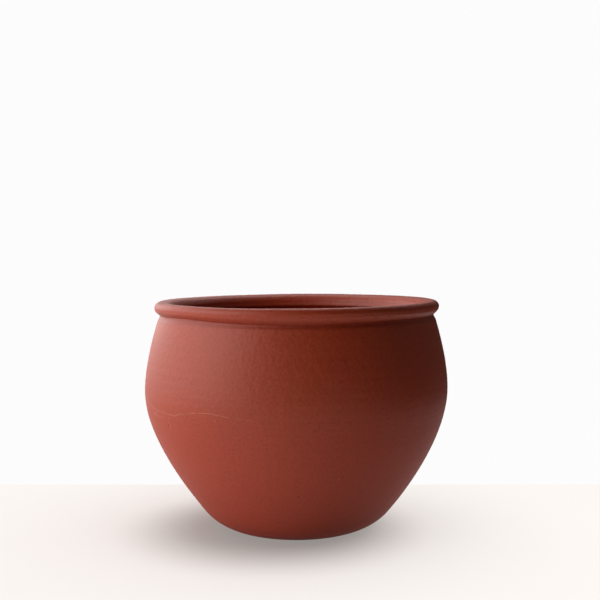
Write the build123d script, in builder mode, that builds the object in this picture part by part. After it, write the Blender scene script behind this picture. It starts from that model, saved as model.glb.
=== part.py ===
from build123d import *
from math import cos, radians, sin
import os

# Wide-mouthed terracotta water jar of about ten litres, built in four sections of clay
# that were joined wet and fired as one pot: a slab base, a lower bowl, an upper wall and
# a rolled rim. Each joint is a seat cut to fit, with a film of fired slip in it.
# Millimetres, +Z up. The origin is the middle of the flat underside.

# Outside
foot_radius = 52.7  # the flat that the jar stands on
heel_radius = 52.6  # the round that turns up from the flat into the flank
heel_sweep = 51.8  # degrees turned by that round
belly_radius = 150.0
belly_height = 139.0
neck_inset = 14.15  # how far in from the belly the groove under the rim is
neck_height = 212.2
neck_lean = 18.5  # degrees that the wall leans in where it meets the rim
flank_pull_shares = (0.285, 0.324)  # how long each end of the curve holds its direction
shoulder_pull_shares = (0.294, 0.302)  # both as shares of the straight line between the ends

# Rim
rim_overhang = 4.95  # how far the roll stands out past the groove
roll_radius = 5.7
undercut_angle = 45.0  # degrees of the roll's underside above level
rim_flat = 5.1
lip_radius = 9.0  # the round that turns down into the mouth
throat_pull = 3.3  # how far the mouth's wall holds its direction below that round

# Inside
floor_thickness = 14.0
floor_radius = 48.0
inner_heel_radius = 44.0
belly_wall = 11.0
neck_wall = 10.0

# Joints
slip_film = 0.8  # fired slip between two sections
base_seam_radius = 60.0  # where the mitred edge of the base comes out on the heel
base_mitre = 45.0  # degrees of that edge above level
belly_seam_height = 130.5
belly_groove_width = 6.0  # across the V-shaped groove in the bowl's edge
belly_groove_depth = 5.0
tongue_height = 8.5  # of the wall's edge inside the rim, along the wall
tongue_tip_width = 3.6
rim_ledge = 2.5  # width of the step inside the mouth that the rim stands on
overrun = 5.0  # how far every cutting outline runs past the clay


def direction(angle):
    """Unit vector at an angle in degrees above +X."""
    return Vector(cos(radians(angle)), sin(radians(angle)))


# Points of the neck, in a section whose X is the radius and whose Y is the height
groove = Vector(belly_radius - neck_inset, neck_height)
up_the_wall = direction(90 + neck_lean)
through_the_wall = direction(180 + neck_lean)
inner_neck = groove + through_the_wall * neck_wall


def wall_curve(start, start_angle, end, end_angle, pull_shares):
    """Smooth curve between two points that leaves and arrives at the given angles."""
    start, end = Vector(start), Vector(end)
    chord = (end - start).length
    start_pull = direction(start_angle) * chord * pull_shares[0]
    end_pull = direction(end_angle) * chord * pull_shares[1]
    return Bezier(start, start + start_pull, end - end_pull, end)


# Half section of the whole jar, from the underside up the outside and down the inside
roll_reach = roll_radius * (1 - sin(radians(undercut_angle)))
underside_run = (rim_overhang - roll_reach) / cos(radians(undercut_angle))
with BuildSketch() as jar_section:
    with BuildLine():
        foot = Line((0, 0), (foot_radius, 0))
        heel = JernArc(start=foot @ 1, tangent=foot % 1, radius=heel_radius, arc_size=heel_sweep)
        belly = (belly_radius, belly_height)
        wall_curve(heel @ 1, heel_sweep, belly, 90, flank_pull_shares)
        wall_curve(belly, 90, groove, 90 + neck_lean, shoulder_pull_shares)

        underside = PolarLine(start=groove, length=underside_run, angle=undercut_angle)
        roll_sweep = 180 - undercut_angle
        roll = JernArc(start=underside @ 1, tangent=underside % 1, radius=roll_radius, arc_size=roll_sweep)
        flat = PolarLine(start=roll @ 1, length=rim_flat, angle=180)
        lip = JernArc(start=flat @ 1, tangent=flat % 1, radius=lip_radius, arc_size=90)
        throat = lip @ 1
        throat_handles = (throat + direction(-90) * throat_pull, inner_neck + up_the_wall * throat_pull)
        Bezier(throat, *throat_handles, inner_neck)

        floor = Line((0, floor_thickness), (floor_radius, floor_thickness))
        inner_heel = JernArc(floor @ 1, floor % 1, inner_heel_radius, heel_sweep)
        inner_belly = (belly_radius - belly_wall, belly_height)
        wall_curve(inner_heel @ 1, heel_sweep, inner_belly, 90, flank_pull_shares)
        wall_curve(inner_belly, 90, inner_neck, 90 + neck_lean, shoulder_pull_shares)
        Line(foot @ 0, floor @ 0)
    make_face()
rim_top = (flat @ 1).Y
outer_end = jar_section.face().bounding_box().max.X + overrun  # where the seams start, clear of the clay


def wall_middle(height):
    """Radius halfway through the wall at a height."""
    level = Edge.make_line((0, height), (outer_end, height))
    return level.intersect(jar_section.face()).center().X


def under_seam(seam, film=0):
    """Everything under a seam that runs from the outside in, grown by a film of slip."""
    with BuildSketch() as space:
        with BuildLine():
            add(seam)
            Polyline(seam @ 1, (0, -overrun), ((seam @ 0).X, -overrun), seam @ 0)
        make_face()
        if film:
            offset(amount=film, kind=Kind.INTERSECTION)
    return space.sketch


# Mitred edge of the base, on which the bowl's foot stands
mitre_top = floor_thickness + overrun
mitre_inner = base_seam_radius - mitre_top / sin(radians(base_mitre)) * cos(radians(base_mitre))
with BuildLine() as base_seam:
    Polyline((base_seam_radius, 0), (mitre_inner, mitre_top), (0, mitre_top))

# Groove along the bowl's edge, which the upper wall's edge fits
groove_middle = wall_middle(belly_seam_height)
with BuildLine() as belly_seam:
    Polyline(
        (outer_end, belly_seam_height),
        (groove_middle + belly_groove_width / 2, belly_seam_height),
        (groove_middle, belly_seam_height - belly_groove_depth),
        (groove_middle - belly_groove_width / 2, belly_seam_height),
        (0, belly_seam_height),
    )

# Tongue along the upper wall's edge, which the rim is rolled over
ledge = inner_neck - through_the_wall * rim_ledge
tip = (groove + ledge) / 2 + up_the_wall * tongue_height
half_tip = through_the_wall * tongue_tip_width / 2
mouth_end = inner_neck + through_the_wall * overrun
with BuildLine() as rim_seam:
    Polyline(
        (outer_end, neck_height),
        groove,
        tip - half_tip,
        tip + half_tip,
        ledge,
        mouth_end,
        (0, mouth_end.Y),
    )

with BuildPart() as base_slab:
    with BuildSketch(Plane.XZ):
        add(jar_section.sketch)
        add(under_seam(base_seam.line), mode=Mode.INTERSECT)
    revolve(axis=Axis.Z)
base_slab.part.label = "base_slab"

with BuildPart() as base_slip:
    with BuildSketch(Plane.XZ):
        add(jar_section.sketch)
        add(under_seam(base_seam.line, slip_film), mode=Mode.INTERSECT)
        add(under_seam(base_seam.line), mode=Mode.SUBTRACT)
    revolve(axis=Axis.Z)
base_slip.part.label = "base_slip"

with BuildPart() as lower_bowl:
    with BuildSketch(Plane.XZ):
        add(jar_section.sketch)
        add(under_seam(belly_seam.line), mode=Mode.INTERSECT)
        add(under_seam(base_seam.line, slip_film), mode=Mode.SUBTRACT)
    revolve(axis=Axis.Z)
lower_bowl.part.label = "lower_bowl"

with BuildPart() as belly_slip:
    with BuildSketch(Plane.XZ):
        add(jar_section.sketch)
        add(under_seam(belly_seam.line, slip_film), mode=Mode.INTERSECT)
        add(under_seam(belly_seam.line), mode=Mode.SUBTRACT)
    revolve(axis=Axis.Z)
belly_slip.part.label = "belly_slip"

with BuildPart() as upper_wall:
    with BuildSketch(Plane.XZ):
        add(jar_section.sketch)
        add(under_seam(rim_seam.line), mode=Mode.INTERSECT)
        add(under_seam(belly_seam.line, slip_film), mode=Mode.SUBTRACT)
    revolve(axis=Axis.Z)
upper_wall.part.label = "upper_wall"

with BuildPart() as rim_slip:
    with BuildSketch(Plane.XZ):
        add(jar_section.sketch)
        add(under_seam(rim_seam.line, slip_film), mode=Mode.INTERSECT)
        add(under_seam(rim_seam.line), mode=Mode.SUBTRACT)
    revolve(axis=Axis.Z)
rim_slip.part.label = "rim_slip"

with BuildPart() as rim_coil:
    with BuildSketch(Plane.XZ):
        add(jar_section.sketch)
        add(under_seam(rim_seam.line, slip_film), mode=Mode.SUBTRACT)
    revolve(axis=Axis.Z)
rim_coil.part.label = "rim_coil"

os.makedirs("parts", exist_ok=True)
for piece in (base_slab, base_slip, lower_bowl, belly_slip, upper_wall, rim_slip, rim_coil):
    export_step(piece.part, f"parts/{piece.part.label}.step")

print(f"height {rim_top:.1f}, belly {2 * belly_radius:.1f}, mouth {2 * throat.X:.1f} across")
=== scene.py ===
import math
from bisect import bisect

import bpy
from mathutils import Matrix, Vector, noise


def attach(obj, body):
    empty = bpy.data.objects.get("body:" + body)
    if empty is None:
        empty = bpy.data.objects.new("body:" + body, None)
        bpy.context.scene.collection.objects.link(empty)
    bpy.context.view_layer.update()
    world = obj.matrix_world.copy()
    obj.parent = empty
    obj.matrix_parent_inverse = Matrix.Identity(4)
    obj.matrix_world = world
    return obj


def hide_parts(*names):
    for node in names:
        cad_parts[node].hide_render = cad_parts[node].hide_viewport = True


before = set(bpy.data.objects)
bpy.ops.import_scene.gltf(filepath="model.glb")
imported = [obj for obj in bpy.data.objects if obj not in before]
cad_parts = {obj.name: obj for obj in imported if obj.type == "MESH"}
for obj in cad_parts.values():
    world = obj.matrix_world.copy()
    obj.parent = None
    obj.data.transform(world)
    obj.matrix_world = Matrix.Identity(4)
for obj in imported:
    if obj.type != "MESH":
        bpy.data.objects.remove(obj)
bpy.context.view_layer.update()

mm = 0.001  # the jar's sizes are written in millimetres, and Blender's unit is the metre

scene = bpy.context.scene
scene.view_settings.view_transform = "Standard"


# camera
camera = {
    "place": (3.4 * mm, -1000 * mm, 278.5 * mm),
    "lookDown": 3.04,  # degrees
    "lens": 60.16,  # millimetres, as the sensor's width is
    "sensor": 36,
}


def addCamera():
    tipped = math.radians(90 - camera["lookDown"])
    bpy.ops.object.camera_add(location=camera["place"], rotation=(tipped, 0, 0))
    made = bpy.context.object
    made.name = "photoCamera"
    made.data.lens = camera["lens"]
    made.data.sensor_width = camera["sensor"]
    scene.camera = made


bpy.ops.object.select_all(action="DESELECT")
addCamera()
print("camera set")


# the jar's section, as radius and height, with its angles in degrees; the pulls say how long each end
# of a wall's curve holds its direction, as shares of the straight line between the ends
jar = {
    "footRadius": 52.7 * mm,
    "heelRadius": 52.6 * mm,
    "heelSweep": 51.8,
    "bellyRadius": 150 * mm,
    "bellyHeight": 139 * mm,
    "neckInset": 14.15 * mm,
    "neckHeight": 212.2 * mm,
    "neckLean": 18.5,
    "flankPulls": (0.285, 0.324),
    "shoulderPulls": (0.294, 0.302),
    "floorThickness": 14 * mm,
    "floorRadius": 48 * mm,
    "innerHeelRadius": 44 * mm,
    "bellyWall": 11 * mm,
    "neckWall": 10 * mm,
}
rim = {
    "overhang": 4.95 * mm,
    "rollRadius": 5.7 * mm,
    "undercut": 45,
    "flat": 5.1 * mm,
    "lipRadius": 9 * mm,
    "throatPull": 3.3 * mm,
}
joints = {
    "film": 0.8 * mm,
    "baseRadius": 60 * mm,
    "bellyHeight": 130.5 * mm,
    "grooveWidth": 6 * mm,
    "grooveDepth": 5 * mm,
    "tongueHeight": 8.5 * mm,
    "tongueTip": 3.6 * mm,
    "ledge": 2.5 * mm,
    "overrun": 5 * mm,
}
# how finely each wall is cut up
cells = {"underneath": 2.9 * mm, "outside": 1.45 * mm, "inside": 2.6 * mm, "rim": 0.62 * mm}
# points nearer than these to a seam or to each other are left out or merged
nearest = {"toSeam": 0.05 * mm, "toPoint": 0.02 * mm, "merged": 0.002 * mm}


def heading(angle):
    return Vector((math.cos(math.radians(angle)), math.sin(math.radians(angle))))


def straight(start, end, cell):
    count = max(1, math.ceil((end - start).length / cell))
    return [start.lerp(end, i / count) for i in range(1, count + 1)]


def turn(start, angle, radius, sweep, cell):
    middle = start + heading(angle + 90) * radius
    count = max(1, math.ceil(radius * math.radians(sweep) / cell))
    return [middle + heading(angle - 90 + sweep * i / count) * radius for i in range(1, count + 1)]


def pull(start, startPull, endPull, end, cell):
    count = max(1, math.ceil((end - start).length / cell))
    points = []
    for i in range(1, count + 1):
        t = i / count
        a, b = start.lerp(startPull, t), startPull.lerp(endPull, t)
        c = endPull.lerp(end, t)
        points.append(a.lerp(b, t).lerp(b.lerp(c, t), t))
    return points


def wallCurve(start, startAngle, end, endAngle, pulls, cell):
    chord = (end - start).length
    startPull = start + heading(startAngle) * chord * pulls[0]
    endPull = end - heading(endAngle) * chord * pulls[1]
    return pull(start, startPull, endPull, end, cell)


groove = Vector((jar["bellyRadius"] - jar["neckInset"], jar["neckHeight"]))
upTheWall = heading(90 + jar["neckLean"])
throughTheWall = heading(180 + jar["neckLean"])
innerNeck = groove + throughTheWall * jar["neckWall"]


def outerWall():
    cell = cells["outside"]
    belly = Vector((jar["bellyRadius"], jar["bellyHeight"]))
    line = [Vector((0, 0))]
    line += straight(line[-1], Vector((jar["footRadius"], 0)), cells["underneath"])
    line += turn(line[-1], 0, jar["heelRadius"], jar["heelSweep"], cell)
    line += wallCurve(line[-1], jar["heelSweep"], belly, 90, jar["flankPulls"], cell)
    line += wallCurve(belly, 90, groove, 90 + jar["neckLean"], jar["shoulderPulls"], cell)
    reach = rim["rollRadius"] * (1 - math.sin(math.radians(rim["undercut"])))
    run = (rim["overhang"] - reach) / math.cos(math.radians(rim["undercut"]))
    line += straight(groove, groove + heading(rim["undercut"]) * run, cells["rim"])
    line += turn(line[-1], rim["undercut"], rim["rollRadius"], 180 - rim["undercut"], cells["rim"])
    line += straight(line[-1], line[-1] - Vector((rim["flat"] / 2, 0)), cells["rim"])
    return line


def innerWall(top):
    cell = cells["inside"]
    belly = Vector((jar["bellyRadius"] - jar["bellyWall"], jar["bellyHeight"]))
    line = [Vector((0, jar["floorThickness"]))]
    line += straight(line[-1], Vector((jar["floorRadius"], jar["floorThickness"])), cell)
    line += turn(line[-1], 0, jar["innerHeelRadius"], jar["heelSweep"], cell)
    line += wallCurve(line[-1], jar["heelSweep"], belly, 90, jar["flankPulls"], cell)
    line += wallCurve(belly, 90, innerNeck, 90 + jar["neckLean"], jar["shoulderPulls"], cell)
    lip = [top]
    lip += straight(top, top - Vector((rim["flat"] / 2, 0)), cells["rim"])
    lip += turn(lip[-1], 180, rim["lipRadius"], 90, cells["rim"])
    throat = lip[-1]
    lip += pull(
        throat,
        throat + heading(-90) * rim["throatPull"],
        innerNeck + upTheWall * rim["throatPull"],
        innerNeck,
        cells["rim"],
    )
    return line + lip[-2::-1]


outside = outerWall()
inside = innerWall(outside[-1])


def crossing(line, other, slack=0.00001):
    # where a line first meets another one, and the number of its own point before that;
    # slack is the share of a step by which the two may miss each other's ends
    for i, (a, b) in enumerate(zip(line, line[1:])):
        for c, d in zip(other, other[1:]):
            turning = (b - a).cross(d - c)
            if turning:
                share = (c - a).cross(d - c) / turning
                otherShare = (c - a).cross(b - a) / turning
                if max(abs(share - 0.5), abs(otherShare - 0.5)) <= 0.5 + slack:
                    return a.lerp(b, share), i
    raise ValueError("the seam misses the wall")


def stretch(line, lowSeam, highSeam):
    # the part of a wall's line between two seams
    start, first = crossing(line, lowSeam) if lowSeam else (line[0], 0)
    end, last = crossing(line, highSeam) if highSeam else (line[-1], len(line) - 2)
    between = [
        point
        for point in line[first + 1:last + 1]
        if min((point - start).length, (point - end).length) > nearest["toSeam"]
    ]
    return [start] + between + [end]


def throughWall(seam):
    # the part of a seam between the outer and the inner wall
    start, end = crossing(outside, seam)[0], crossing(inside, seam)[0]
    first = crossing(seam, outside)[1]
    last = crossing(seam[::-1], inside)[1]
    return [start] + seam[first + 1:len(seam) - 1 - last] + [end]


def grown(seam, film):
    # the seam moved up by the film of slip
    moved = []
    for i, point in enumerate(seam):
        sides = [(b - a).normalized() for a, b in zip(seam[max(i - 1, 0):i + 1], seam[max(i, 1):i + 2])]
        ups = [Vector((side.y, -side.x)) for side in sides]
        moved.append(point + (ups[0] + ups[-1]) * film / (1 + ups[0].dot(ups[-1])))
    return moved


outerEnd = jar["bellyRadius"] + joints["overrun"]  # where the seams start, clear of the clay


def wallMiddle(height):
    level = [Vector((0, height)), Vector((outerEnd, height))]
    return (crossing(outside, level)[0].x + crossing(inside, level)[0].x) / 2


mitreTop = jar["floorThickness"] + joints["overrun"]
# a mitre at 45 degrees, so it comes in as far as it goes up
baseSeam = [
    Vector((joints["baseRadius"] + joints["overrun"], -joints["overrun"])),
    Vector((joints["baseRadius"] - mitreTop, mitreTop)),
]

grooveMiddle = wallMiddle(joints["bellyHeight"])
bellySeam = [
    Vector((outerEnd, joints["bellyHeight"])),
    Vector((grooveMiddle + joints["grooveWidth"] / 2, joints["bellyHeight"])),
    Vector((grooveMiddle, joints["bellyHeight"] - joints["grooveDepth"])),
    Vector((grooveMiddle - joints["grooveWidth"] / 2, joints["bellyHeight"])),
    Vector((0, joints["bellyHeight"])),
]

ledge = innerNeck - throughTheWall * joints["ledge"]
tongueTip = (groove + ledge) / 2 + upTheWall * joints["tongueHeight"]
halfTip = throughTheWall * joints["tongueTip"] / 2
rimSeam = [
    groove + Vector((joints["overrun"], 0)),
    groove,
    tongueTip - halfTip,
    tongueTip + halfTip,
    ledge,
    innerNeck + throughTheWall * joints["overrun"],
]
print("section drawn:", len(outside), "points outside,", len(inside), "inside")


# the potter's hand: how far every point leaves the true round
hand = {
    "lumpSize": 70 * mm,
    "lumpDepth": 0.45 * mm,
    "lumpSeed": 25,
    "ringPitch": 8 * mm,
    "ringSlope": 0.6,  # how far a ring climbs on its way in, as a share of the radius
    "ringEvenness": 0.6,  # the rest of a ring's depth comes and goes
    "ringDepthOutside": 0.05 * mm,
    "ringDepthInside": 0.4 * mm,
    "rimTilt": 0.0055,  # the rim's right side stands higher
    "tiltStart": 120 * mm,
    # by height, how far the jar leans to the right
    "sway": ((0, 0), (35 * mm, 0.7 * mm), (115 * mm, -0.6 * mm), (170 * mm, 0), (230 * mm, 0)),
    "hollowMiddle": Vector((0, 0, 120 * mm)),  # the rings inside stand out towards it
    "footFade": 6 * mm,  # above the underside, which stays flat
}
noise.seed_set(hand["lumpSeed"])  # left alone, vector noise starts from the clock
# the rim's top falls into the mouth, and the clay under its lip is pressed full
lipSlope = {"inside": 135.1 * mm, "above": 205 * mm, "full": 217 * mm, "fall": 0.09}
thumbed = {"heights": (200 * mm, 218 * mm), "fade": 0.5, "depth": 3 * mm}
# a wet finger ran round under the roll, and round the roll itself
cove = {"height": 210.4 * mm, "halfWidth": 3 * mm, "depth": 0.8 * mm}
crease = {"height": 218.6 * mm, "halfWidth": 1.5 * mm, "depth": 0.2 * mm}
tear = {
    "azimuths": (27, 44),
    "heights": (211.4 * mm, 216.6 * mm),
    "fade": 0.1,  # share of each range over which the crumbs die away
    "size": 1.9 * mm,
    "depth": 0.75 * mm,
}
# the belly seam's height round the jar, by degrees from the front to the right
seamWander = (
    (-180, 130.5 * mm),
    (-130, 131.8 * mm),
    (-100, 129.8 * mm),
    (-78, 131.5 * mm),
    (-61, 127.5 * mm),
    (-47.3, 125.8 * mm),
    (-45.2, 128 * mm),
    (-36.7, 131.7 * mm),
    (-30.2, 132.8 * mm),
    (-24.4, 130.9 * mm),
    (-8.7, 127.4 * mm),
    (20, 127 * mm),
    (57.6, 127.6 * mm),
    (68.3, 130.5 * mm),
    (79.8, 132.9 * mm),
    (120, 131 * mm),
    (180, 130.5 * mm),
)
seamReach = 16 * mm  # how far above and below the seam its wandering is felt
# how far the groove under the roll stands above its level, round the jar
grooveWander = (
    (-180, 0),
    (-75, 0.3 * mm),
    (-46, 0.9 * mm),
    (-22, -0.9 * mm),
    (-4, -1.7 * mm),
    (8, -1.6 * mm),
    (24, -0.8 * mm),
    (44, 0),
    (180, 0),
)
grooveReach = 7 * mm  # how far above and below the groove that is felt
wallHeights = [point.y for point in outside]


def smooth(share):
    share = min(max(share, 0), 1)
    return share * share * (3 - 2 * share)


def readOff(pairs, at):
    # the value at a place between the pairs, which straight lines join
    for (fromAt, fromValue), (toAt, toValue) in zip(pairs, pairs[1:]):
        if at <= toAt:
            return fromValue + (toValue - fromValue) * (at - fromAt) / (toAt - fromAt)
    return pairs[-1][1]


def within(at, ends, fade):
    # 1 inside a range, falling to 0 at its ends
    share = min(at - ends[0], ends[1] - at) / (ends[1] - ends[0])
    return smooth(share / fade)


def notch(at, settings):
    # how deep a groove that runs round the jar is at a height
    return smooth(1 - abs(at - settings["height"]) / settings["halfWidth"]) * settings["depth"]


def wallRadius(height):
    i = min(max(bisect(wallHeights, height), 1), len(outside) - 1)
    low, high = outside[i - 1], outside[i]
    return low.x + (high.x - low.x) * min(max((height - low.y) / (high.y - low.y or mm), 0), 1)


def byHand(place):
    radius, height = math.hypot(place.x, place.y), place.z
    azimuth = math.degrees(math.atan2(place.x, -place.y))
    # 0 on the outer wall and the underside, and 1 on the inner wall and the floor of the jar
    inShare = smooth(min((wallRadius(height) - radius) / jar["bellyWall"], height / jar["floorThickness"]))
    outShare = 1 - inShare
    standing = smooth(height / hand["footFade"])
    out = Vector((place.x, place.y, 0)) / max(radius, mm)

    # the seam climbs and falls, and takes the wall's width with it
    seamMiddle = joints["bellyHeight"] + joints["film"] / 2
    felt = 1 - smooth(abs(height - seamMiddle) / seamReach)
    climb = (readOff(seamWander, azimuth) - seamMiddle) * felt
    widening = wallRadius(height + climb) - wallRadius(height) if felt else 0
    moved = place + out * widening + Vector((0, 0, climb))

    # lumps and throwing rings
    moved += noise.noise_vector(place / hand["lumpSize"]) * hand["lumpDepth"] * standing
    turns = (height + radius * hand["ringSlope"]) / hand["ringPitch"] + azimuth / 360
    uneven = (1 - hand["ringEvenness"]) * noise.noise(place / hand["lumpSize"])
    ring = math.sin(math.tau * turns) * (hand["ringEvenness"] + uneven)
    moved += (hand["hollowMiddle"] - place).normalized() * ring * hand["ringDepthInside"] * inShare
    moved += out * ring * hand["ringDepthOutside"] * outShare * standing

    # the cove under the roll, the groove's course, the crease round the roll, and the torn crumbs
    moved -= out * (notch(height, cove) + notch(height, crease)) * outShare
    near = 1 - smooth(abs(height - jar["neckHeight"]) / grooveReach)
    moved.z += readOff(grooveWander, azimuth) * near * outShare
    torn = within(azimuth, tear["azimuths"], tear["fade"]) * within(height, tear["heights"], tear["fade"])
    if torn and outShare > inShare:
        moved += out * noise.noise(place / tear["size"]) * tear["depth"] * torn

    # the slope of the rim's top, the full clay under the lip, and the tilt and sway of it all
    sloped = smooth((height - lipSlope["above"]) / (lipSlope["full"] - lipSlope["above"]))
    moved.z -= max(lipSlope["inside"] - radius, 0) * sloped * lipSlope["fall"]
    moved -= out * within(height, thumbed["heights"], thumbed["fade"]) * thumbed["depth"] * inShare
    high = max(height - hand["tiltStart"], 0) / (jar["neckHeight"] - hand["tiltStart"])
    moved.z += place.x * hand["rimTilt"] * high
    moved.x += readOff(hand["sway"], height)
    return moved


# pieces
def drawOut(name, outline):
    # a plane is merged to a point and drawn out along the outline
    bpy.ops.mesh.primitive_plane_add(size=mm, location=(outline[0].x, 0, outline[0].y))
    piece = bpy.context.object
    piece.name = name
    bpy.ops.object.transform_apply(location=True)
    bpy.ops.object.mode_set(mode="EDIT")
    bpy.ops.mesh.merge(type="CENTER")
    for here, there in zip(outline, outline[1:]):
        step = there - here
        bpy.ops.mesh.extrude_region_move(TRANSFORM_OT_translate={"value": (step.x, 0, step.y)})
    return piece


def spinRound(piece, steps):
    # a quarter is spun and mirrored both ways, which is far quicker than a whole turn
    bpy.ops.mesh.select_all(action="SELECT")
    bpy.ops.mesh.spin(steps=steps // 4, angle=math.pi / 2, center=(0, 0, 0), axis=(0, 0, 1))
    bpy.ops.object.mode_set(mode="OBJECT")
    mirror = piece.modifiers.new("otherQuarters", "MIRROR")
    mirror.use_axis = (True, True, False)
    mirror.merge_threshold = nearest["merged"]
    bpy.ops.object.modifier_apply(modifier=mirror.name)
    bpy.ops.object.mode_set(mode="EDIT")
    bpy.ops.mesh.select_all(action="SELECT")
    bpy.ops.mesh.remove_doubles(threshold=nearest["merged"])
    bpy.ops.mesh.normals_make_consistent(inside=False)
    bpy.ops.object.mode_set(mode="OBJECT")


noiseMiddle = 0.5  # the value that a noise texture swings about
grain = {
    "size": 2.6 * mm,
    "depth": 0.27 * mm,
    "lowShare": 0.3,  # of that depth below the belly, where the clay was wiped smooth
    "wipedBelow": 100 * mm,
    "roughAbove": 150 * mm,
}
grainTexture = bpy.data.textures.new("clayGrain", "CLOUDS")
grainTexture.noise_scale = grain["size"]
grainTexture.noise_depth = 0  # one layer, with no finer ones on it


def roughen(piece):
    # a group of points says how much of the grain each one takes
    group = piece.vertex_groups.new(name="shown")
    for vertex in piece.data.vertices:
        height = vertex.co.z
        share = smooth((height - grain["wipedBelow"]) / (grain["roughAbove"] - grain["wipedBelow"]))
        depth = grain["lowShare"] + (1 - grain["lowShare"]) * share
        group.add([vertex.index], depth * smooth(height / hand["footFade"]), "REPLACE")
    modifier = piece.modifiers.new("grain", "DISPLACE")
    modifier.texture = grainTexture
    modifier.strength = grain["depth"]
    modifier.mid_level = noiseMiddle
    modifier.vertex_group = group.name
    bpy.ops.object.modifier_apply(modifier=modifier.name)


sharpAngle = 35  # degrees; corners sharper than this stay sharp


def makePiece(settings, lowSeam, highSeam):
    outline = stretch(outside, lowSeam, highSeam)
    if highSeam:
        outline += throughWall(highSeam)
    outline += stretch(inside, lowSeam, highSeam)[::-1]
    if lowSeam:
        outline += throughWall(lowSeam)[::-1]
    kept = [outline[0]]
    for point in outline[1:]:
        if (point - kept[-1]).length > nearest["toPoint"]:
            kept.append(point)
    piece = drawOut(settings["name"], kept)
    spinRound(piece, settings["steps"])
    for vertex in piece.data.vertices:
        vertex.co = byHand(vertex.co)
    roughen(piece)
    bpy.ops.object.shade_smooth_by_angle(angle=math.radians(sharpAngle))
    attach(piece, "root")
    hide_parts(settings["node"])
    bpy.ops.object.select_all(action="DESELECT")
    print(settings["name"], "made:", len(piece.data.polygons), "faces")
    return piece


baseSlipTop = grown(baseSeam, joints["film"])
bellySlipTop = grown(bellySeam, joints["film"])
rimSlipTop = grown(rimSeam, joints["film"])

baseSlab = {"name": "baseSlab", "node": "base_slab", "slot": "terracotta", "steps": 240}
baseSlip = {"name": "baseSlip", "node": "base_slip", "slot": "fired_slip", "steps": 240}
lowerBowl = {"name": "lowerBowl", "node": "lower_bowl", "slot": "terracotta", "steps": 540}
bellySlip = {"name": "bellySlip", "node": "belly_slip", "slot": "fired_slip", "steps": 720}
upperWall = {"name": "upperWall", "node": "upper_wall", "slot": "terracotta", "steps": 720}
rimSlip = {"name": "rimSlip", "node": "rim_slip", "slot": "fired_slip", "steps": 720}
rimCoil = {"name": "rimCoil", "node": "rim_coil", "slot": "terracotta", "steps": 900}

clayPieces = [
    makePiece(baseSlab, None, baseSeam),
    makePiece(lowerBowl, baseSlipTop, bellySeam),
    makePiece(upperWall, bellySlipTop, rimSeam),
    makePiece(rimCoil, rimSlipTop, None),
]
slipPieces = [
    makePiece(baseSlip, baseSeam, baseSlipTop),
    makePiece(bellySlip, bellySeam, bellySlipTop),
    makePiece(rimSlip, rimSeam, rimSlipTop),
]


# finishes
class Wire:
    # a socket that Python's own operators can work with
    def __init__(self, finish, socket):
        self.finish = finish
        self.socket = socket

    def maths(self, operation, *values):
        sockets = dict(enumerate((self, *values)))
        return self.finish.add("Math", {"operation": operation}, sockets)

    def __add__(self, other):
        return self.maths("ADD", other)

    def __radd__(self, other):
        return self.maths("ADD", other)

    def __sub__(self, other):
        return self.maths("SUBTRACT", other)

    def __rsub__(self, other):
        return self.finish.add("Math", {"operation": "SUBTRACT"}, {0: other, 1: self})

    def __mul__(self, other):
        return self.maths("MULTIPLY", other)

    def __rmul__(self, other):
        return self.maths("MULTIPLY", other)

    def atLeast(self, other):
        return self.maths("MAXIMUM", other)

    def atMost(self, other):
        return self.maths("MINIMUM", other)

    def ramp(self, low, high):
        # 0 below low and 1 above high, smoothly; the two may be given the other way round
        settings = {"interpolation_type": "SMOOTHSTEP"}
        return self.finish.add("MapRange", settings, {"Value": self, "From Min": low, "From Max": high})

    def band(self, under, low, high, over):
        # 1 from low to high, fading to 0 at under and over
        return self.ramp(under, low) * self.ramp(over, high)


class Finish:
    # a material, or the world, and its nodes
    def __init__(self, owner):
        self.owner = owner
        owner.use_nodes = True
        self.tree = owner.node_tree
        self.tree.nodes.clear()

    def add(self, kind, settings=None, sockets=None, output=0):
        node = self.tree.nodes.new("ShaderNode" + kind)
        for name, value in (settings or {}).items():
            setattr(node, name, value)
        for name, value in (sockets or {}).items():
            if isinstance(value, Wire):
                self.tree.links.new(value.socket, node.inputs[name])
            else:
                node.inputs[name].default_value = value
        return Wire(self, node.outputs[output])

    def places(self):
        return self.add("TexCoord", output="Object")

    def vector(self, operation, first, second, output=0):
        return self.add("VectorMath", {"operation": operation}, {0: first, 1: second}, output)

    def split(self, places):
        return [self.add("SeparateXYZ", None, {0: places}, axis) for axis in range(3)]

    def noise(self, places, size, detail, roughness):
        sockets = {"Vector": places, "Scale": 1 / size, "Detail": detail, "Roughness": roughness}
        return self.add("TexNoise", {"noise_dimensions": "3D"}, sockets, "Fac")

    def blend(self, share, first, second):
        return self.add("Mix", {"data_type": "RGBA"}, {0: share, 6: first, 7: second}, 2)

    def spot(self, places, middle, radius, core=0.35):
        # 1 round a point, as far as the core's share of the radius, fading to 0 at the radius
        return self.vector("DISTANCE", places, middle, "Value").ramp(radius, radius * core)

    def scratch(self, places, start, end, width, core=0.2):
        # 1 along a straight line between two points, fading to 0 at the width
        along = end - start
        fromStart = self.vector("SUBTRACT", places, start)
        share = self.vector("DOT_PRODUCT", fromStart, along, "Value") * (1 / along.length_squared)
        held = share.atLeast(0).atMost(1)
        closest = self.add("VectorMath", {"operation": "SCALE"}, {0: along, "Scale": held})
        return self.vector("DISTANCE", fromStart, closest, "Value").ramp(width, width * core)

    def finishOff(self, kind, surface):
        output = self.tree.nodes.new("ShaderNodeOutput" + kind)
        self.tree.links.new(surface.socket, output.inputs["Surface"])


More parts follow.
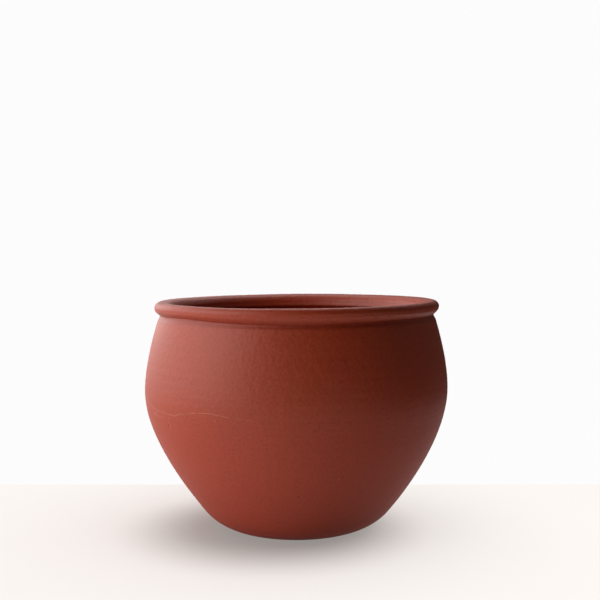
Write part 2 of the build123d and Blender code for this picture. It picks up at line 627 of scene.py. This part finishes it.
# each noise is given by its size, detail and roughness
clay = {
    "red": (0.352, 0.033, 0.005, 1),
    "brown": (0.332, 0.0365, 0.007, 1),
    "toneNoise": (90 * mm, 3, 0.5),
    "toneTurns": (0.35, 0.65),
    "mottleNoise": (2 * mm, 2, 0.6),
    "dust": (0.4, 0.065, 0.022, 1),
    "dustShare": 0.1,
    "dustSpread": 1.1,  # how much more or less of it the mottle gives
    "shade": (0.2, 0.02, 0.006, 1),
    "shadeShare": 0.3,
    "shadeTurns": (0.5, 0.32),
    "low": (0.348, 0.037, 0.013, 1),  # below the belly, paler and pinker: partly the clay's tone, partly a painted sheen
    "lowShare": 0.8,
    "groove": (0.19, 0.014, 0.003, 1),  # painted shade under the roll, where the roll's shadow falls
    "grooveShadeShare": 0.36,
    "grooveShadeHeights": (205 * mm, 210.5 * mm, 212.5 * mm, 215 * mm),
    "roughness": 0.53,
    "lowRoughness": 0.66,  # of the wiped clay below the belly
    "roughnessSpread": 0.1,
    "specular": 0.5,
    "bumpNoise": (1.9 * mm, 3, 0.6),
    "bumpDepth": 0.2 * mm,
}
# marks on the clay, by degrees from the front to the right, and by height
marks = {
    "pits": ((-52.6, 115.2 * mm), (14.8, 46.7 * mm), (0.8, 56.7 * mm)),
    "pitRadius": 1.3 * mm,
    # painted shade in the pits, which have no depth of their own
    "pitShadeColour": (0.09, 0.011, 0.006, 1),
    "specks": ((16.7, 73.5 * mm), (-28, 125.7 * mm)),
    "speckRadius": 1.1 * mm,
    "speckShare": 0.3,
    "scratches": (
        ((-59.9, 129.8 * mm), (-63.5, 123.4 * mm)),
        ((-63.5, 123.4 * mm), (-56.6, 122.5 * mm)),
        ((-51.5, 127.8 * mm), (-51.5, 111.1 * mm)),
    ),
    "scratchWidth": 0.9 * mm,
    "scratchShare": 0.2,
    "pale": (0.56, 0.19, 0.13, 1),
}
hairline = {
    "arcs": ((-84, -74, -26, -10), (52, 60, 76, 84)),  # where each starts, is full, thins and ends
    "heights": (105 * mm, 118 * mm, 140 * mm, 150 * mm),  # outside these the slip is as the clay
    "breakNoise": (9 * mm, 2, 0.6),
    "breakTurns": (0.3, 0.55),
    "share": 0.36,
}
# the curved lines that a wire leaves when it cuts the jar off the wheel
cutLines = {
    "pitch": 1.7 * mm,
    "middle": (190 * mm, -60 * mm, 0),
    "wobble": 0.4,  # of the pitch
    "depth": 0.12 * mm,
    "reach": 1.5 * mm,  # up from the underside
}


def onWall(azimuth, height):
    # a point of the outer wall
    turned = math.radians(azimuth)
    radius = wallRadius(height)
    return byHand(Vector((radius * math.sin(turned), -radius * math.cos(turned), height)))


def clayFinish(name, slip=False):
    made = Finish(bpy.data.materials.new(name))
    places = made.places()
    across, deep, height = made.split(places)
    tone = made.noise(places, *clay["toneNoise"]).ramp(*clay["toneTurns"])
    mottle = made.noise(places, *clay["mottleNoise"])
    uneven = mottle - noiseMiddle
    belowBelly = height.ramp(grain["roughAbove"], grain["wipedBelow"])
    colour = made.blend(tone, clay["red"], clay["brown"])
    # below the belly the clay turns paler and pinker, partly the clay's tone and partly a painted sheen
    colour = made.blend(belowBelly * clay["lowShare"], colour, clay["low"])
    colour = made.blend(uneven * clay["dustSpread"] + clay["dustShare"], colour, clay["dust"])
    colour = made.blend(mottle.ramp(*clay["shadeTurns"]) * clay["shadeShare"], colour, clay["shade"])
    # painted shade in a band under the roll, which follows the rim's tilt
    paintedGrooveShade = (height - across * hand["rimTilt"]).band(*clay["grooveShadeHeights"])
    colour = made.blend(paintedGrooveShade * clay["grooveShadeShare"], colour, clay["groove"])
    if slip:
        azimuth = across.maths("ARCTAN2", deep * -1) * math.degrees(1)
        shown = sum(azimuth.band(*arc) for arc in hairline["arcs"]) * height.band(*hairline["heights"])
        whole = made.noise(places, *hairline["breakNoise"]).ramp(*hairline["breakTurns"])
        colour = made.blend(shown * whole * hairline["share"], colour, marks["pale"])
    else:
        for start, end in marks["scratches"]:
            line = made.scratch(places, onWall(*start), onWall(*end), marks["scratchWidth"])
            colour = made.blend(line * marks["scratchShare"], colour, marks["pale"])
        for place in marks["specks"]:
            speck = made.spot(places, onWall(*place), marks["speckRadius"]) * marks["speckShare"]
            colour = made.blend(speck, colour, marks["pale"])
        # dark spots where small pits are: painted shade, as the pits have no depth here
        for place in marks["pits"]:
            pitShade = made.spot(places, onWall(*place), marks["pitRadius"])
            colour = made.blend(pitShade, colour, marks["pitShadeColour"])

    # the wiped clay below the belly is rougher to the light, though smoother to the hand
    roughness = belowBelly * (clay["lowRoughness"] - clay["roughness"]) + clay["roughness"]

    # fine grain, and the lines of the cut on the underside
    fine = made.noise(places, *clay["bumpNoise"])
    grained = made.add("Bump", None, {"Strength": 1, "Distance": clay["bumpDepth"], "Height": fine})
    wobble = fine * (cutLines["pitch"] * cutLines["wobble"])
    sweep = made.vector("DISTANCE", places, cutLines["middle"], "Value") + wobble
    lines = (sweep * (math.tau / cutLines["pitch"])).maths("SINE") * height.ramp(cutLines["reach"], 0)
    cut = {"Strength": 1, "Distance": cutLines["depth"], "Height": lines, "Normal": grained}
    surface = made.add("BsdfPrincipled", None, {
        "Base Color": colour,
        "Roughness": uneven * clay["roughnessSpread"] + roughness,
        "Specular IOR Level": clay["specular"],
        "Normal": made.add("Bump", None, cut),
    })
    made.finishOff("Material", surface)
    return made.owner


terracotta = clayFinish("terracotta")
firedSlip = clayFinish("firedSlip", slip=True)
for piece in clayPieces:
    piece.data.materials.append(terracotta)
for piece in slipPieces:
    piece.data.materials.append(firedSlip)
print("finishes made")


# floor, walls, light and background, whose larger sizes are written in metres
black = (0, 0, 0, 1)
backdrop = (0.982, 0.975, 0.982, 1)
floor = {
    "size": 12,
    "colour": (0.35, 0.353, 0.35, 1),
    "roughness": 0.9,
    "bounce": (0.93, 0.88, 0.84, 1),  # how much of the light it throws back at the jar, more on the left: a painted pool of the panels' light
    "rightPaintedShadowBounce": (0.3, 0.25, 0.21, 1),
    "bounceTurns": (-60 * mm, 60 * mm),  # from the one to the other, left to right; the darker right is a painted shadow of the jar
    "glow": (0.6, 0.56, 0.535, 1),
    "farFrom": (161 * mm, 165 * mm),  # the line past which it is the backdrop's own white
    "paintedShadowGlow": 0.48,  # of the glow is left round the jar's foot: a painted shadow where its shadow lies
    "paintedShadowMiddle": (-25 * mm, -20 * mm, 0),
    "paintedShadowWithin": (60 * mm, 165 * mm),  # from that middle, where the glow starts to rise out of the painted shadow and is whole
}
bpy.ops.mesh.primitive_plane_add(size=floor["size"], location=(0, 0, 0))
ground = bpy.context.object
ground.name = "ground"


def seenDirectly(finish):
    # 1 for what the camera sees, itself, in gloss or through glass
    rays = ("Is Camera Ray", "Is Glossy Ray", "Is Transmission Ray")
    seen, mirrored, refracted = [finish.add("LightPath", output=ray) for ray in rays]
    return seen.atLeast(mirrored).atLeast(refracted)


def floorFinish():
    made = Finish(bpy.data.materials.new("paleFloor"))
    places = made.places()
    across, deep = made.split(places)[:2]
    far = deep.ramp(*floor["farFrom"])
    seen = seenDirectly(made)
    # a painted shadow: the glow dims round a point by the jar's foot
    distance = made.vector("DISTANCE", places, floor["paintedShadowMiddle"], "Value")
    share = distance.ramp(*floor["paintedShadowWithin"]) * (1 - floor["paintedShadowGlow"]) + floor["paintedShadowGlow"]
    glow = made.blend(seen * share, black, made.blend(far, floor["glow"], backdrop))
    # only the light thrown back sees this colour: a painted pool of light on the left and a painted shadow
    # on the right
    bounce = made.blend(across.ramp(*floor["bounceTurns"]), floor["bounce"], floor["rightPaintedShadowBounce"])
    colour = made.blend(seen, bounce, made.blend(far, floor["colour"], black))
    surface = made.add("BsdfPrincipled", None, {
        "Base Color": colour,
        "Roughness": floor["roughness"],
        "Specular IOR Level": 0,
        "Emission Color": glow,
        "Emission Strength": 1,
    })
    made.finishOff("Material", surface)
    return made.owner


ground.data.materials.append(floorFinish())

# dim walls: a room open to the left and the back, and a low corner close behind the jar on its right;
# the camera looks through both, and the corner stops no lamp
walls = {
    "studioWalls": {
        "middle": (0.4, -0.3, 1.1),
        "size": (4, 3.8, 2.2),
        "kept": ((1, 0, 0), (0, -1, 0), (0, 0, 1)),
        "stopsLamps": True,
    },
    "lowCorner": {
        "middle": (0.185, -0.04, 0.276),
        "size": (0.57, 0.92, 0.55),
        "kept": ((1, 0, 0), (0, 1, 0)),
        "stopsLamps": False,
    },
}
wallColour = {"colour": (0.1, 0.08, 0.07, 1), "glow": (0.02, 0.015, 0.012, 1)}
sameWay = 0.9  # faces whose normals agree with a kept direction by more than this stay


def standWalls(name, settings):
    bpy.ops.object.select_all(action="DESELECT")
    bpy.ops.mesh.primitive_cube_add(size=1, location=settings["middle"], scale=settings["size"])
    stood = bpy.context.object
    stood.name = name
    bpy.ops.object.mode_set(mode="EDIT")
    bpy.ops.mesh.select_mode(type="FACE")
    bpy.ops.mesh.select_all(action="DESELECT")
    bpy.ops.object.mode_set(mode="OBJECT")
    for face in stood.data.polygons:
        face.select = max(face.normal.dot(Vector(way)) for way in settings["kept"]) < sameWay
    bpy.ops.object.mode_set(mode="EDIT")
    bpy.ops.mesh.delete(type="FACE")
    bpy.ops.object.mode_set(mode="OBJECT")
    stood.visible_camera = False
    stood.visible_shadow = settings["stopsLamps"]
    stood.data.materials.append(dimWall)


def wallFinish():
    made = Finish(bpy.data.materials.new("dimWall"))
    surface = made.add("BsdfPrincipled", None, {
        "Base Color": wallColour["colour"],
        "Roughness": 1,
        "Emission Color": wallColour["glow"],
        "Emission Strength": 1,
    })
    made.finishOff("Material", surface)
    return made.owner


dimWall = wallFinish()
for name, settings in walls.items():
    standWalls(name, settings)

sky = (0.44, 0.44, 0.443, 1)  # the light that the world gives


def worldFinish():
    made = Finish(scene.world or bpy.data.worlds.new("world"))
    scene.world = made.owner
    colour = made.blend(seenDirectly(made), sky, backdrop)
    made.finishOff("World", made.add("Background", None, {"Color": colour, "Strength": 1}))


worldFinish()

# the panels keep off the floor, which has an overhead lamp of its own and so an even shadow
lamps = {
    "keyPanel": {"place": (-1.03, -0.55, 0.66), "size": (0.9, 1.3), "watts": 8.4, "floor": "EXCLUDE"},
    "sidePanel": {"place": (-1.15, 0.14, 0.6), "size": (0.7, 1.3), "watts": 5, "floor": "EXCLUDE"},
    "rearPanel": {"place": (-0.8, 0.8, 0.53), "size": (0.7, 0.7), "watts": 4, "floor": "EXCLUDE"},
    "backPanel": {"place": (0, 0.75, 1.1), "size": (0.7, 0.7), "watts": 4.4, "floor": "EXCLUDE"},
    "floorLamp": {"place": (0.2, 0, 1.3), "size": (2, 2), "watts": 31, "floor": "INCLUDE"},
}
lampsAimAt = Vector((0, 0, 120 * mm))


def addLamp(name, settings):
    place = Vector(settings["place"])
    turned = (lampsAimAt - place).to_track_quat("-Z", "Y").to_euler()
    bpy.ops.object.light_add(type="AREA", location=place, rotation=turned)
    lamp = bpy.context.object
    lamp.name = name
    lamp.data.shape = "RECTANGLE"
    lamp.data.size, lamp.data.size_y = settings["size"]
    lamp.data.energy = settings["watts"]
    lamp.visible_camera = False
    linked = bpy.data.collections.new(name + "Floor")
    linked.objects.link(ground)
    linked.collection_objects[0].light_linking.link_state = settings["floor"]
    lamp.light_linking.receiver_collection = linked


for name, settings in lamps.items():
    addLamp(name, settings)
print("floor, walls, background and lamps set")
